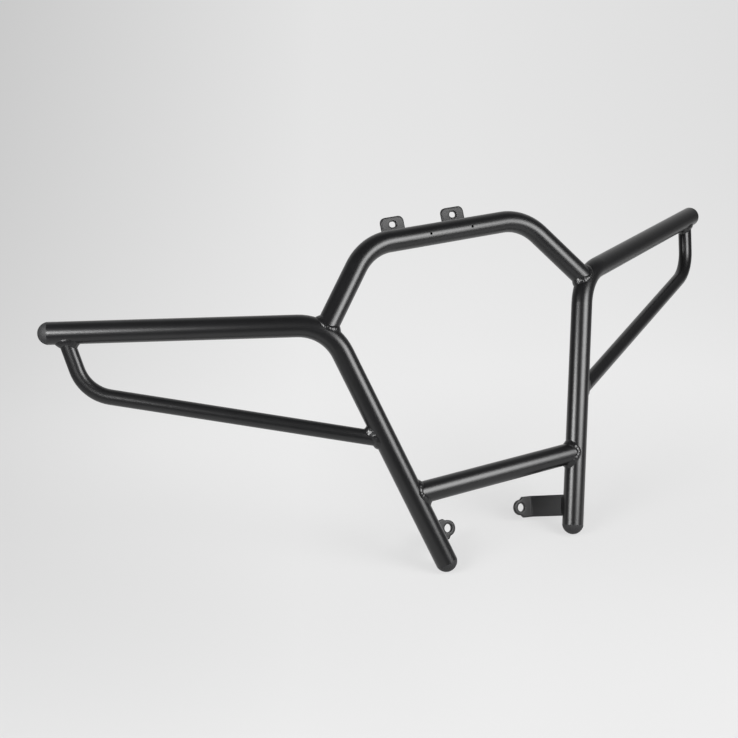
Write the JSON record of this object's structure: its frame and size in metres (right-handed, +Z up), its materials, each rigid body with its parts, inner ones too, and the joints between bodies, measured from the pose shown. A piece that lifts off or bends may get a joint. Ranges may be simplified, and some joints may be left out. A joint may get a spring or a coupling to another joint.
{
  "type": "atv front bumper",
  "caption": "Welded bent-tube front bumper with a raked centre hoop, swept-back side wings with lower braces, slotted upper tabs, lower bolt ears and plugged tube ends.",
  "frame": {"origin": "midway between the two lower bolt holes, on the rear face of their ears", "axes": "-Y ahead of the vehicle, +Z up, +X to the right as seen from ahead; the wings lie level and the centre frame leans back"},
  "size_m": [1.1812, 0.3421, 0.4579],
  "materials": {
    "powder_coat": "satin black powder coat with a fine orange-peel texture over steel tube",
    "plug_plastic": "matt black moulded polyethylene"
  },
  "bodies": {
    "root": {"left_side_tube": "powder_coat", "right_side_tube": "powder_coat", "top_hoop": "powder_coat", "lower_cross_tube": "powder_coat", "left_wing_brace": "powder_coat", "right_wing_brace": "powder_coat", "left_top_tab": "powder_coat", "right_top_tab": "powder_coat", "left_lower_bracket": "powder_coat", "right_lower_bracket": "powder_coat", "left_hoop_weld": "powder_coat", "left_cross_weld": "powder_coat", "left_brace_outer_weld": "powder_coat", "left_brace_inner_weld": "powder_coat", "left_tab_weld": "powder_coat", "left_bracket_weld": "powder_coat", "right_hoop_weld": "powder_coat", "right_cross_weld": "powder_coat", "right_brace_outer_weld": "powder_coat", "right_brace_inner_weld": "powder_coat", "right_tab_weld": "powder_coat", "right_bracket_weld": "powder_coat", "left_wing_plug": "plug_plastic", "right_wing_plug": "plug_plastic", "left_leg_plug": "plug_plastic", "right_leg_plug": "plug_plastic"}
  },
  "joints": []
}
